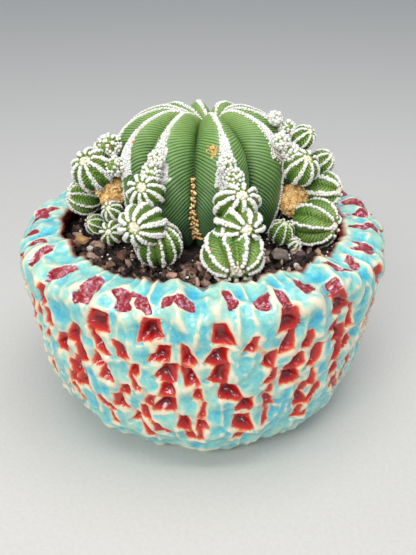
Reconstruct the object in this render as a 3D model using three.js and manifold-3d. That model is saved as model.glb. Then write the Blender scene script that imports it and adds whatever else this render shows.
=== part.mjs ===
// A round, ribbed cactus with a skirt of young offsets, planted in a thick hand-carved ceramic bowl.
// Millimetres, +Z up. The origin is the middle of the pot's foot, on the surface that the pot stands on.
import * as THREE from "three";
import { mergeVertices } from "three/addons/utils/BufferGeometryUtils.js";
import Module from "manifold-3d";

// Driving dimensions.
const POT_HEIGHT = 98;
const POT_BELLY_RADIUS = 91;
const POT_BELLY_HEIGHT = 87;
const POT_FOOT_RADIUS = 56;
const POT_MOUTH_RADIUS = 69;
const POT_INSIDE_RADIUS = 75;
const POT_FLOOR = 13;
const DRAIN_RADIUS = 8;
const SOIL_BELOW_LIP = 10;
const STEM_HEIGHT = 59;
const STEM_RADIUS = 46;
const STEM_ROOT_DEPTH = 16;
const STEM_LEAN = 5; // degrees, away from the front
const STEM_SET_BACK = 17; // behind the pot's axis
const OFFSET_RIBS = 8;
const GAP = 0.3; // clearance between pieces that touch

const SOIL_TOP = POT_HEIGHT - SOIL_BELOW_LIP;
const HOLLOW_SIDES = 48;
const radians = THREE.MathUtils.degToRad;

const wasm = await Module();
wasm.setup();

const colours = {
  glaze: { color: 0x7fcfc6, roughness: 0.25, metalness: 0 },
  soil: { color: 0x2e2420, roughness: 0.95, metalness: 0 },
  skin: { color: 0x4f7f3a, roughness: 0.55, metalness: 0 },
  bud: { color: 0xe9e6da, roughness: 0.9, metalness: 0 },
  cork: { color: 0xc9a062, roughness: 0.9, metalness: 0 },
  stone: { color: 0x9a8474, roughness: 0.85, metalness: 0 },
};

const material = (name) => new THREE.MeshStandardMaterial(colours[name]);

function named(name, geometry, finish) {
  const mesh = new THREE.Mesh(geometry, material(finish));
  mesh.name = name;
  return mesh;
}

// Boolean work: a closed geometry as a solid, and a solid as a geometry.
function toSolid(geometry) {
  const bare = geometry.clone();
  bare.deleteAttribute("normal");
  bare.deleteAttribute("uv");
  const merged = mergeVertices(bare, 1e-3);
  const vertProperties = merged.attributes.position.array;
  const triVerts = new Uint32Array(merged.index.array);
  return new wasm.Manifold(new wasm.Mesh({ numProp: 3, vertProperties, triVerts }));
}

function toGeometry(solid) {
  const { vertProperties, triVerts } = solid.getMesh();
  const geometry = new THREE.BufferGeometry();
  geometry.setAttribute("position", new THREE.BufferAttribute(vertProperties, 3));
  geometry.setIndex(new THREE.BufferAttribute(triVerts, 1));
  geometry.computeVertexNormals();
  return geometry;
}

// A turned shape whose outline is a list of [radius, height], standing on +Z.
function turned(outline, sides) {
  const points = outline.map(([radius, height]) => new THREE.Vector2(radius, height));
  return new THREE.LatheGeometry(points, sides).rotateX(Math.PI / 2);
}

// A closed ribbed body. Every row has a crest and a groove [radius, height]; angles has one direction
// for each side, and share says how far that side stands out, from 0 in a groove to 1 on a crest.
function ribbed(rows, angles, share) {
  const sides = angles.length;
  const geometry = turned(rows.map((row) => row.crest), sides);
  const position = geometry.attributes.position;
  for (let side = 0; side <= sides; side += 1) {
    const turn = angles[side % sides];
    const out = share[side % sides];
    rows.forEach(({ crest, groove }, row) => {
      const radius = THREE.MathUtils.lerp(groove[0], crest[0], out);
      const height = THREE.MathUtils.lerp(groove[1], crest[1], out);
      const vertex = side * rows.length + row;
      position.setXYZ(vertex, radius * Math.cos(turn), radius * Math.sin(turn), height);
    });
  }
  return geometry;
}

// Splits the circle at the crests, with the same number of sides from each crest to the next.
function crestSides(crests, sidesPerRib) {
  const angles = [];
  const share = [];
  crests.forEach((crest, rib) => {
    const next = rib + 1 < crests.length ? crests[rib + 1] : crests[0] + 360;
    for (let side = 0; side < sidesPerRib; side += 1) {
      const along = side / sidesPerRib;
      angles.push(radians(THREE.MathUtils.lerp(crest, next, along)));
      share.push(Math.abs(2 * along - 1));
    }
  });
  return { angles, share };
}

// The pot: a thick bowl that closes in at the top, with a broad sloping rim and a drainage hole.
function potGeometry() {
  const outside = [
    [DRAIN_RADIUS, 0],
    [POT_FOOT_RADIUS, 0],
    [63, 3],
    [73, 12],
    [80, 24],
    [84, 38],
    [87, 54],
    [89, 70],
    [POT_BELLY_RADIUS, POT_BELLY_HEIGHT],
    [89, 93.5],
    [83, 97.5],
    [76, POT_HEIGHT],
  ];
  const inside = [
    [POT_MOUTH_RADIUS, POT_HEIGHT - 1],
    [POT_MOUTH_RADIUS + 1, POT_HEIGHT - 6],
    [73, 84],
    [POT_INSIDE_RADIUS, 72],
    [73, 52],
    [68, 32],
    [58, 19],
    [44, POT_FLOOR],
    [DRAIN_RADIUS, POT_FLOOR],
  ];
  const outline = [...outside, ...inside, outside[0]];
  return turned(outline, HOLLOW_SIDES);
}

// The potting mix fills the pot to just under its lip, with a shallow fall towards the wall.
function soilGeometry() {
  const outline = [
    [0, POT_FLOOR + GAP],
    [44, POT_FLOOR + GAP],
    [57.6, 19.3],
    [67.5, 32.3],
    [72.5, 52],
    [74.5, 72],
    [72.5, SOIL_TOP - 4.5],
    [70.5, SOIL_TOP - 1],
    [52, SOIL_TOP],
    [0, SOIL_TOP],
  ];
  return turned(outline, HOLLOW_SIDES);
}

// The main stem, from the taper that goes into the mix to the sunken crown.
const STEM_CRESTS = [20, 57, 95, 130, 160, 188, 214, 242, 285, 327, 355];

function stemGeometry(grow) {
  const rows = [
    { crest: [0, -STEM_ROOT_DEPTH - grow], groove: [0, -STEM_ROOT_DEPTH - grow] },
    { crest: [16, -STEM_ROOT_DEPTH + 2], groove: [16, -STEM_ROOT_DEPTH + 2] },
    { crest: [29, -6], groove: [28, -6] },
    { crest: [38, 0], groove: [33, 0] },
    { crest: [42, 8], groove: [36, 9] },
    { crest: [45, 18], groove: [38, 19] },
    { crest: [STEM_RADIUS, 31], groove: [38, 30] },
    { crest: [44.5, 41], groove: [35, 39] },
    { crest: [40, 48.5], groove: [30, 45.5] },
    { crest: [34, 53.5], groove: [23, 50] },
    { crest: [26, 57.2], groove: [16, 52] },
    { crest: [18, STEM_HEIGHT], groove: [10, 52] },
    { crest: [10, 57], groove: [6, 51] },
    { crest: [5, 53], groove: [3, 50] },
    { crest: [0, 50], groove: [0, 50] },
  ];
  for (const { crest, groove } of rows.slice(1, -1)) {
    crest[0] += grow;
    groove[0] += grow;
  }
  const { angles, share } = crestSides(STEM_CRESTS, 6);
  return ribbed(rows, angles, share).rotateX(-radians(STEM_LEAN));
}

// Offsets: [name, azimuth, reach from the stem's axis, height over the mix, radius,
// azimuth and elevation that the crown points to, how much it is squeezed by its neighbours].
const OFFSETS = [
  ["offset_left_high", 200, 56, 35, 10, 240, 48, 1],
  ["offset_left_low", 189, 60.5, 17, 8.5, 198, 15, 1],
  ["offset_left_foot", 177, 57, 8, 5.5, 190, 15, 1],
  ["offset_left_pearl", 202, 57.5, 7.5, 4.8, 215, 30, 1],
  ["offset_left_star", 219, 56, 9, 5.5, 258, 28, 1],
  ["offset_left_inner", 213, 52, 17, 5, 240, 45, 1],
  ["offset_front_left_top", 240, 51, 33, 8.2, 255, 38, 1],
  ["offset_front_left_middle", 244.5, 62, 22, 10.3, 248, 14, 0.9],
  ["offset_front_left_base", 249, 56, 11, 10.8, 250, 78, 1],
  ["offset_front_right_top", 287.5, 51, 29.5, 10.4, 288, 45, 0.76],
  ["offset_front_right_middle", 286, 58.5, 20.5, 10.8, 290, 14, 0.78],
  ["offset_front_right_base", 282, 64, 11.4, 13.2, 278, -20, 0.84],
  ["offset_right_top", 341, 51, 50, 5.6, 320, 45, 1],
  ["offset_right_high", 332, 53, 38, 8.2, 302, 52, 1],
  ["offset_right_outer", 352, 60, 35, 6, 345, 40, 1],
  ["offset_right_middle", 345, 61, 22.5, 9.8, 335, 6, 0.95],
  ["offset_right_base", 331.5, 62.5, 11.4, 11.2, 322, 4, 1],
  ["offset_right_bead", 319, 50.5, 8, 6, 320, 72, 1],
  ["offset_right_seedling", 320, 58, 3.6, 3.2, 315, 50, 1],
  ["offset_back_right_low", 14, 57, 19, 8, 14, 12, 1],
  ["offset_back_right_high", 22, 53, 33, 7, 24, 36, 1],
  ["offset_back_north_east_high", 57, 52, 31, 8.2, 57, 28, 1],
  ["offset_back_north_east_low", 50, 51, 18.5, 6.4, 48, 5, 1],
  ["offset_back_north_high", 95, 51, 29, 7.8, 95, 30, 1],
  ["offset_back_north_low", 103, 51, 18, 5.2, 104, 8, 1],
  ["offset_back_north_west_high", 130, 52, 31, 8.2, 130, 28, 1],
  ["offset_back_north_west_low", 136, 54, 19, 6.6, 138, 5, 1],
  ["offset_back_left_high", 160, 53, 33, 7.4, 158, 34, 1],
  ["offset_back_left_low", 164, 57, 20.5, 7.8, 164, 8, 1],
];
const BUDS = [
  ["bud_left_upper", 198, 46.5, 46, 5.4, 215, 45, 1],
  ["bud_left_lower", 208, 47, 38, 4.6, 225, 40, 1],
  ["bud_front_left_upper", 243, 45, 47.5, 3.6, 250, 45, 1],
  ["bud_front_left_lower", 241, 47.5, 41, 4.6, 250, 40, 1],
  ["bud_front_right_upper", 284, 45, 46.5, 3.8, 284, 45, 1],
  ["bud_front_right_lower", 287, 47.5, 40, 4.8, 288, 40, 1],
  ["bud_right_upper", 355, 36, 55.5, 3.4, 340, 60, 1],
  ["bud_right_crest", 354, 43, 50.5, 4.4, 335, 50, 1],
  ["bud_right_front_upper", 327, 44, 50.5, 3.8, 315, 50, 1],
  ["bud_right_front_lower", 330, 48, 45, 4.2, 315, 40, 1],
];
const CORKS = [
  ["cork_left", 201, 47.5, 24, 7.5, 215, 20, 1],
  ["cork_right", 337, 49, 20, 7.5, 325, 15, 1],
];

// Rows of a ribbed ball of radius 1 with a dimpled crown.
const BALL_ROWS = [
  { crest: [0, -0.92], groove: [0, -0.92] },
  { crest: [0.56, -0.78], groove: [0.5, -0.76] },
  { crest: [0.92, -0.36], groove: [0.8, -0.34] },
  { crest: [1, 0.12], groove: [0.85, 0.12] },
  { crest: [0.82, 0.56], groove: [0.68, 0.5] },
  { crest: [0.42, 0.86], groove: [0.34, 0.74] },
  { crest: [0, 0.78], groove: [0, 0.78] },
];
const BUD_ROWS = [0, 1, 2, 4, 5, 6].map((row) => BALL_ROWS[row]);

function ball(rows, ribs, sidesPerRib, entry, grow) {
  const [, azimuth, reach, height, radius, towards, lift, squeeze] = entry;
  const crests = Array.from({ length: ribs }, (_, rib) => (rib * 360) / ribs);
  const { angles, share } = crestSides(crests, sidesPerRib);
  const size = radius + grow;
  return ribbed(rows, angles, share)
    .scale(size * squeeze, size, size)
    .rotateY(radians(90 - lift))
    .rotateZ(radians(towards))
    .translate(reach * Math.cos(radians(azimuth)), reach * Math.sin(radians(azimuth)), height);
}

const growers = [
  { entries: OFFSETS, finish: "skin", shape: (e, g) => ball(BALL_ROWS, OFFSET_RIBS, 2, e, g) },
  { entries: CORKS, finish: "cork", shape: (e, g) => ball(BUD_ROWS, 5, 2, e, g) },
  { entries: BUDS, finish: "bud", shape: (e, g) => ball(BUD_ROWS, 5, 2, e, g) },
];

// The plant. Its parts are made larger first, and each later one gives way to those that it touches.
const plant = new THREE.Group();
plant.position.set(0, STEM_SET_BACK, SOIL_TOP);
plant.add(named("main_stem", stemGeometry(0), "skin"));
const taken = [toSolid(stemGeometry(GAP))];
for (const { entries, finish, shape } of growers) {
  const largestFirst = [...entries].sort((a, b) => b[4] - a[4]);
  for (const entry of largestFirst) {
    let solid = toSolid(shape(entry, 0));
    for (const neighbour of taken) solid = solid.subtract(neighbour);
    taken.push(toSolid(shape(entry, GAP)));
    plant.add(named(entry[0], toGeometry(solid), finish));
  }
}

// Soil, cut away round the buried foot of the stem.
const stemHole = toSolid(stemGeometry(GAP).translate(0, STEM_SET_BACK, SOIL_TOP));
const soil = named("soil", toGeometry(toSolid(soilGeometry()).subtract(stemHole)), "soil");

// Loose stones on the mix: [name, azimuth, distance from the pot's axis, length, width, height, turn].
const STONES = [
  ["pebble_tan", 192, 60.5, 9.5, 6, 5, 25],
  ["pebble_rose", 186, 62, 5, 4.4, 3.6, 0],
  ["pebble_white", 201, 58, 4.2, 3.8, 3.4, 40],
  ["chip_bark_left", 217, 47, 6.4, 9.2, 3.6, 15],
  ["chip_bark_edge", 206, 63, 9, 3.8, 3, 110],
  ["pebble_brown_left", 222, 57, 6, 5, 4, 60],
  ["chip_rose_front", 254, 50, 6.6, 4, 3.2, 30],
  ["chip_bark_front", 265, 45, 7.4, 4.4, 3, 70],
  ["pebble_grey", 320, 47, 10, 8.4, 7, 20],
  ["pebble_plum", 327, 55, 6.6, 6, 5, 75],
  ["pebble_pink", 311, 45, 4.4, 4, 3.6, 10],
  ["chip_tan_right", 331, 63.5, 8.4, 4, 3, 130],
  ["pebble_chalk", 318, 58, 3.4, 3.2, 2.8, 50],
  ["chip_bark_right", 304, 56, 9, 4.2, 3, 20],
];

function stone([name, azimuth, distance, length, width, height, turn]) {
  const mesh = named(name, new THREE.DodecahedronGeometry(0.5), "stone");
  const halfHeight = Math.max(...mesh.geometry.attributes.position.array);
  mesh.scale.set(length, width, height);
  mesh.rotation.z = radians(turn);
  const across = distance * Math.cos(radians(azimuth));
  const along = distance * Math.sin(radians(azimuth));
  mesh.position.set(across, along, SOIL_TOP + GAP + height * halfHeight);
  return mesh;
}

const group = new THREE.Group();
group.add(named("pot", potGeometry(), "glaze"));
group.add(soil);
group.add(plant);
STONES.forEach((entry) => group.add(stone(entry)));

export default group;
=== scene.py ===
# %% [markdown]
# # A round cactus in a carved, glazed bowl
#
# The object is a living plant in a hand-made pot. The pot is thick stoneware, carved while the clay was
# soft and glazed turquoise over red. The plant is one ribbed stem with young offsets round its skirt,
# and white wool on every rib. This lesson builds the pieces from the outside in: pot, mix, stem,
# offsets, wool, cork and stones. Each piece is placed and sized by its CAD node, in metres. The outlines
# of the pot and the stem, and the way that each offset faces, repeat the CAD's numbers.

import itertools
import math
import random

import bpy
import numpy as np
from mathutils import Matrix, Vector


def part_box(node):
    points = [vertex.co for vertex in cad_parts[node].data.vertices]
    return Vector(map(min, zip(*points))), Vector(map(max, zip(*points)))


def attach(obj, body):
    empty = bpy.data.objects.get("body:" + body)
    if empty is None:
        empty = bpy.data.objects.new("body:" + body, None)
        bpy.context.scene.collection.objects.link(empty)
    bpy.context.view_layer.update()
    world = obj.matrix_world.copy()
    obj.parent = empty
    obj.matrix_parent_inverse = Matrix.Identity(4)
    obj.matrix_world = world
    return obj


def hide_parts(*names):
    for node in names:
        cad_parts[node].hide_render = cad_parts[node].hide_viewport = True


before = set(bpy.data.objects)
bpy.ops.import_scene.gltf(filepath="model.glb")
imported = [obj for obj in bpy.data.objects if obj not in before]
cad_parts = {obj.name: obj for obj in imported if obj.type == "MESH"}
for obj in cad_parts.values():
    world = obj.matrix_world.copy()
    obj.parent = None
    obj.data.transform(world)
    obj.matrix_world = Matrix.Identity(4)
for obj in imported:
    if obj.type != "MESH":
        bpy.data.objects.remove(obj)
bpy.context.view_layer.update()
MM = 0.001
pot_low, pot_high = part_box("pot")
soil_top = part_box("soil")[1].z
print("pot", round(2 * pot_high.x / MM), "mm wide,", round(pot_high.z / MM), "mm tall")

# %% [markdown]
# ## Camera, light and floor
#
# The camera looks down at the pot from the front, at the slope that shows the planting as well as the
# carved wall. One wide, soft lamp hangs overhead, as a bright sky would, and a broad one stands in front.
# A narrow strip between them draws short bright streaks in the glossy carving.

# %% Camera
CAMERA_PLACE = (0, -0.32448, 0.23714)
CAMERA_DOWN = math.radians(28.26)
CAMERA_RIGHT = math.radians(0.49)
LENS = 45.4

camera = bpy.data.objects.new("camera", bpy.data.cameras.new("camera"))
camera.data.lens = LENS
camera.data.clip_start = 0.01
camera.location = CAMERA_PLACE
camera.rotation_euler = (math.pi / 2 - CAMERA_DOWN, 0, -CAMERA_RIGHT)
bpy.context.scene.collection.objects.link(camera)
bpy.context.scene.camera = camera
print("camera", [round(value, 3) for value in camera.location])


# %% Lights
def area_light(name, place, target, width, depth, power, colour):
    """A soft rectangular lamp at place, turned towards target."""
    lamp = bpy.data.lights.new(name, "AREA")
    lamp.shape = "RECTANGLE"
    lamp.size = width
    lamp.size_y = depth
    lamp.energy = power
    lamp.color = colour
    holder = bpy.data.objects.new(name, lamp)
    holder.location = place
    holder.rotation_euler = (Vector(target) - Vector(place)).to_track_quat("-Z", "Y").to_euler()
    bpy.context.scene.collection.objects.link(holder)


LIGHT_TARGET = (0, 0, 0.08)
area_light("sky", (0.1, -0.15, 1.15), LIGHT_TARGET, 0.9, 0.7, 5.6, (1, 0.99, 0.97))
area_light("window", (0, -0.42, 1.15), LIGHT_TARGET, 1.2, 0.05, 2.6, (1, 1, 1))
area_light("front", (-0.35, -0.95, 0.8), LIGHT_TARGET, 0.7, 0.2, 8.6, (1, 0.98, 0.95))

world = bpy.data.worlds.new("studio")
world.use_nodes = True
world.node_tree.nodes["Background"].inputs["Color"].default_value = (0.86, 0.92, 1, 1)
world.node_tree.nodes["Background"].inputs["Strength"].default_value = 0.6
bpy.context.scene.world = world
bpy.context.scene.view_settings.view_transform = "Standard"


# %% [markdown]
# ## Small tools
#
# A few helpers are used by every piece. One turns a hex colour to linear light. One adds a shader node
# with its settings and links. `lumps` is smooth noise for a whole list of points at once, which makes
# clay, skin and soil uneven in the mesh itself. `paint` stores one number for each point, so that a
# material can follow the shape: where a cut is deep, where a rib stands out, where wool grows.


# %% Colour and nodes
def srgb(hex_colour):
    """A hex sRGB colour as linear red, green, blue and alpha."""
    values = [int(hex_colour[place : place + 2], 16) / 255 for place in (1, 3, 5)]
    return tuple(v / 12.92 if v <= 0.04045 else ((v + 0.055) / 1.055) ** 2.4 for v in values) + (1,)


def add(tree, kind, inputs=None, stops=None, **settings):
    """Adds a node. inputs gives its sockets a value, or a socket to link; stops are a ramp's colours."""
    made = tree.nodes.new("ShaderNode" + kind)
    for name, value in settings.items():
        setattr(made, name, value)
    for socket, value in (inputs or {}).items():
        if isinstance(value, bpy.types.NodeSocket):
            tree.links.new(value, made.inputs[socket])
        else:
            made.inputs[socket].default_value = value
    for number, (place, colour) in enumerate(stops or ()):
        ramp = made.color_ramp.elements
        stop = ramp[number] if number < 2 else ramp.new(place)
        stop.position = place
        stop.color = srgb(colour)
    return made


def new_material(name):
    """A material with an empty Principled surface: its tree and its shader."""
    material = bpy.data.materials.new(name)
    material.use_nodes = True
    return material, material.node_tree, material.node_tree.nodes["Principled BSDF"]


# %% Points, noise and paint
def deselect():
    """Leaves nothing selected, in object mode."""
    if bpy.context.object and bpy.context.object.mode != "OBJECT":
        bpy.ops.object.mode_set(mode="OBJECT")
    bpy.ops.object.select_all(action="DESELECT")


def read_points(piece):
    """The piece's points, one row each, in metres."""
    points = np.empty(len(piece.data.vertices) * 3, np.float32)
    piece.data.vertices.foreach_get("co", points)
    return points.reshape(-1, 3).astype(float)


def write_points(piece, points):
    """Moves the piece's points to these rows."""
    piece.data.vertices.foreach_set("co", np.ascontiguousarray(points, np.float32).ravel())
    piece.data.update()


def read_normals(piece):
    """The direction that the surface faces at each point."""
    normals = np.empty(len(piece.data.vertices) * 3, np.float32)
    piece.data.vertex_normals.foreach_get("vector", normals)
    return normals.reshape(-1, 3).astype(float)


def paint(piece, name, values):
    """Stores a number for each point, which the piece's material reads by name."""
    layer = piece.data.attributes.new(name, "FLOAT", "POINT")
    layer.data.foreach_set("value", np.ascontiguousarray(values, np.float32))


def lumps(points, size, seed):
    """Smooth noise from -1 to 1 at each point, with lumps about this size across."""
    cell = points / size + 7.31 * seed
    corner = np.floor(cell).astype(np.int64)
    part = cell - corner
    part = part * part * (3 - 2 * part)
    total = np.zeros(len(points))
    for step in itertools.product((0, 1), repeat=3):
        share = np.prod(np.where(step, part, 1 - part), axis=1)
        x, y, z = (corner + step).T
        mixed = (x * 73856093) ^ (y * 19349663) ^ (z * 83492791)
        mixed = (mixed ^ (mixed >> 13)) * 1274126177 & 0x7FFFFFFF
        total += share * (mixed / 0x3FFFFFFF - 1)
    return total


def smooth_step(value, low, high):
    """Goes gently from 0 at low to 1 at high."""
    part = np.clip((value - low) / (high - low), 0, 1)
    return part * part * (3 - 2 * part)


def settle(piece, name, material, replaced=None):
    """Names a finished piece, gives it its material, and fixes it to the plant's one body."""
    piece.name = name
    piece.data.name = name
    piece.data.materials.clear()
    piece.data.materials.append(material)
    piece.data.polygons.foreach_set("use_smooth", [True] * len(piece.data.polygons))
    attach(piece, "root")
    if replaced:
        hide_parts(replaced)
    return piece


# %% [markdown]
# ## The floor
#
# A plain pale slab, so that nothing competes with the pot. It is matt, and a fine speckle keeps it from
# looking like paper.

# %% Floor
material, tree, shader = new_material("pale_plaster_floor")
coordinates = add(tree, "TexCoord")
speckle = add(tree, "TexNoise", {"Vector": coordinates.outputs["Object"], "Scale": 500, "Detail": 3})
shade = add(
    tree,
    "ValToRGB",
    {"Fac": speckle.outputs["Fac"]},
    stops=[(0.3, "#c3c1bd"), (0.7, "#c9c7c3")],
)
tree.links.new(shade.outputs["Color"], shader.inputs["Base Color"])
shader.inputs["Roughness"].default_value = 0.85

deselect()
bpy.ops.mesh.primitive_plane_add(size=12, location=(0, 0, 0))
floor = bpy.context.object
floor.name = "floor"
floor.data.materials.append(material)
print("floor 12 m square")

# %% [markdown]
# ## The pot: the thrown shape
#
# A potter throws or coils this bowl, pinches its mouth in, and leaves a broad sloping rim. In Blender it is
# one outline, spun round the pot's axis. The outline is a smooth curve through a few radii and heights.
# Its rows are close together on the outside, where the carving goes, and wide inside, under the mix.

# %% The pot's outline
# Radius and height in millimetres, from the edge of the foot, up the outside, over the lip and down inside.
POT_CURVE = [
    (56, 0),
    (63, 3),
    (73, 12),
    (80, 24),
    (84, 38),
    (87, 54),
    (89, 70),
    (91, 87),
    (89, 93.5),
    (83, 97.5),
    (76, 98),
    (69, 97),
    (70, 92),
    (73, 84),
    (75, 72),
    (73, 52),
    (68, 32),
    (58, 19),
    (44, 13),
]
DRAIN_RADIUS = 8
POT_FLOOR = 13
POT_STEPS = 680
FINE_ROW = 1.0  # mm between rows on the carved wall
COARSE_ROW = 7  # mm between rows inside, where the mix hides them
FOOT_ROW = 1.7  # mm between rows near the foot
FOOT_BAND = 20  # mm over the ground
LIP_ROW = 1.4  # mm between rows on the shown inside
SHOWN_FROM = 80  # mm over the ground, where the inside comes out of the mix


def smooth_curve(points, steps=30):
    """A curve that passes through every point (Catmull-Rom)."""
    points = np.asarray(points, float)
    ends = (2 * points[0] - points[1], 2 * points[-1] - points[-2])
    padded = np.vstack([ends[0], points, ends[1]])
    t = np.linspace(0, 1, steps, endpoint=False)[:, None]
    pieces = [
        (2 * b + (c - a) * t + (2 * a - 5 * b + 4 * c - d) * t**2 + (3 * b - a - 3 * c + d) * t**3) / 2
        for a, b, c, d in zip(padded, padded[1:], padded[2:], padded[3:])
    ]
    return np.vstack(pieces + [points[-1]])


def distance_along(curve):
    """How far along the curve each of its points is."""
    return np.append(0, np.cumsum(np.linalg.norm(np.diff(curve, axis=0), axis=1)))


wall = smooth_curve(POT_CURVE)
wall_along = distance_along(wall)
over_lip = np.argmax(wall[:, 1])
outside = np.arange(len(wall)) <= over_lip
shown_inside = ~outside & (wall[:, 1] > SHOWN_FROM)
outer_size = np.where(wall[:, 1] < FOOT_BAND, FOOT_ROW, FINE_ROW)
row_size = np.where(outside, outer_size, np.where(shown_inside, LIP_ROW, COARSE_ROW))
row_count = np.append(0, np.cumsum(np.diff(wall_along) / row_size[1:]))
row_along = np.interp(np.arange(int(row_count[-1]) + 1), row_count, wall_along)
row_radius = np.interp(row_along, wall_along, wall[:, 0])
row_height = np.interp(row_along, wall_along, wall[:, 1])
print(len(row_along), "rows,", round(wall_along[-1]), "mm of wall")

# %% Spin the outline
foot_line = [(DRAIN_RADIUS, 0), (24, 0), (42, 0), (55, 0)]
floor_line = [(30, POT_FLOOR), (DRAIN_RADIUS, POT_FLOOR)]
rows = [(radius, height, 0) for radius, height in foot_line]
rows += list(zip(row_radius, row_height, row_along))
rows += [(radius, height, wall_along[-1]) for radius, height in floor_line]
deselect()
mesh = bpy.data.meshes.new("pot_glazed")
mesh.from_pydata(
    [(radius * MM, 0, height * MM) for radius, height, _ in rows],
    [(row, (row + 1) % len(rows)) for row in range(len(rows))],
    [],
)
pot = bpy.data.objects.new("pot_glazed", mesh)
bpy.context.scene.collection.objects.link(pot)
pot.select_set(True)
bpy.context.view_layer.objects.active = pot
paint(pot, "along", [along for _, _, along in rows])
bpy.ops.object.mode_set(mode="EDIT")
bpy.ops.mesh.select_all(action="SELECT")
bpy.ops.mesh.spin(steps=POT_STEPS, angle=2 * math.pi, center=(0, 0, 0), axis=(0, 0, 1))
bpy.ops.mesh.select_all(action="SELECT")
bpy.ops.mesh.remove_doubles(threshold=0.00001)
bpy.ops.mesh.normals_make_consistent(inside=False)
bpy.ops.object.mode_set(mode="OBJECT")
print("pot", len(pot.data.vertices), "points,", len(pot.data.polygons), "faces")

# %% [markdown]
# ## The pot: the carving
#
# The maker pressed a square tool into the soft wall, over and over, in columns from the rim to the foot.
# Each press leaves a bell-shaped pit: narrow at the top, wide at the bottom. It steps straight in under
# the clay above, slopes in further to a crease near its foot, and comes out again up a short ramp, with a
# lip of pushed-up clay below. Here a pit is the least of four depths, one for each face of the tool, and
# they meet in sharp creases. The columns follow a rule, with some chance in every pit. The pits of a
# column sit in a shallow furrow, and the rim has short strokes across it and a scalloped lip.

# %% Where the tool went in
# Tall columns of wide pits start at the shoulder; between each two is a shorter column of narrow ones.
COLUMN_STEP = 9  # degrees from one column to the next
FIRST_COLUMN = 275
COLUMN_DRIFT = 9  # degrees that a column wanders round the pot on its way down
LOWEST_PIT = 23
carving = random.Random(162)

columns = []
for number in range(360 // COLUMN_STEP):
    tall = number % 2 == 0
    start = carving.uniform(85, 90) if tall else carving.uniform(68, 80)
    widest = carving.uniform(12, 15.5) if tall else carving.uniform(7.5, 10.5)
    middle = FIRST_COLUMN + number * COLUMN_STEP + carving.uniform(-1.5, 1.5)
    height = start
    column = []
    while height > LOWEST_PIT:
        down = (start - height) / 60
        width = widest * (1 - 0.3 * down) * carving.uniform(0.7, 1.2)
        length = carving.uniform(9, 13.5) * (1 - 0.2 * down)
        direction = middle + COLUMN_DRIFT * down + carving.uniform(-3.2, 3.2)
        column.append((direction, height, width, length))
        height -= length * carving.uniform(0.74, 1.02)
    columns.append(column)
pits = [pit for column in columns for pit in column]
print(len(pits), "pits in", len(columns), "columns")

# %% Cut the pits
CUT_STEP = 1.3  # mm straight in under the clay above
CUT_IN = 0.5  # slope of a pit's long upper face
CUT_OUT = 1.5  # slope of the short ramp below the crease
CUT_SIDE = 1.0  # slope of the side walls
PIT_DEPTH = 4.8
LIP_REACH = 2.6  # mm below a pit in which its lip of clay fades

points = read_points(pot)
azimuth = np.degrees(np.arctan2(points[:, 1], points[:, 0])) % 360
radius = np.hypot(points[:, 0], points[:, 1]) / MM
height = points[:, 2] / MM
along = np.empty(len(points), np.float32)
pot.data.attributes["along"].data.foreach_get("value", along)
outside_along = wall_along[: over_lip + 1]
wobble = [lumps(points, 4 * MM, seed) * 0.7 for seed in (1, 2)]


def beside(direction, around):
    """Millimetres round the wall from a direction to each point."""
    turn = (azimuth - direction + 180) % 360 - 180
    return np.radians(turn) * around


depth = np.zeros(len(points))
lip = np.zeros(len(points))
crease = np.zeros(len(points))
for direction, pit_height, width, length in pits:
    around = np.interp(pit_height, wall[: over_lip + 1, 1], wall[: over_lip + 1, 0])
    middle = np.interp(pit_height, wall[: over_lip + 1, 1], outside_along)
    lean = carving.uniform(-0.4, 0.4)
    slant = carving.uniform(-0.4, 0.4)
    side = carving.uniform(0.8, 1.2)
    across = beside(direction, around)
    near = (np.abs(across) < 14) & (np.abs(along - middle) < 16) & (along < outside_along[-1])
    x = across[near] + wobble[0][near]
    y = along[near] - middle + wobble[1][near]
    x = x - lean * y
    bottom = -0.5 * length + slant * x
    top = 0.5 * length
    half = 0.5 * width * (0.6 + 0.45 * np.clip((top - y) / length, 0, 1))
    ramp = CUT_OUT * (y - bottom)
    face = np.where(y < top, CUT_STEP * smooth_step(top - y, 0, 1) + CUT_IN * (top - y), 0)
    others = np.min([face, side * CUT_SIDE * (half - x), CUT_SIDE * (half + x) / side], axis=0)
    cut = np.clip(np.minimum(ramp, others), 0, PIT_DEPTH)
    deeper = cut > depth[near]
    meets = (1 - smooth_step(np.abs(ramp - others), 0, 0.75)) * smooth_step(cut, 0.8, 1.8)
    crease[near] = np.where(deeper, meets, crease[near])
    depth[near] = np.maximum(depth[near], cut)
    ledge = np.where(y < bottom, np.exp((y - bottom) / LIP_REACH), 0)
    ledge *= 1 - smooth_step(np.abs(x), 0.3 * width, 0.6 * width)
    lip[near] = np.maximum(lip[near], ledge * side)
cut_share = round(100 * (depth > 0.5).mean())
print("deepest cut", round(depth.max(), 1), "mm; cut area", cut_share, "% of the points")

# %% Furrows, rim strokes and the scalloped lip
RIM_RADIUS = 82.5
SCALLOP = 18  # degrees from one notch of the lip to the next
FIRST_NOTCH = 270

FURROW = 0.8  # mm deep, joining the pits of a column
FURROW_HALF = 4.5
for column in columns:
    upward = sorted((pit_height, direction) for direction, pit_height, _, _ in column)
    heights, directions = zip(*upward)
    x = beside(np.interp(height, heights, directions), radius) + wobble[0]
    under_top = 1 - smooth_step(height, heights[-1], heights[-1] + 5)
    inside_column = smooth_step(height, heights[0] - 4, heights[0]) * under_top
    trough = FURROW * np.clip(1.25 - np.abs(x) / FURROW_HALF, 0, 1) * inside_column
    depth = np.where(along < outside_along[-1] - 12, np.maximum(depth, trough), depth)

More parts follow.
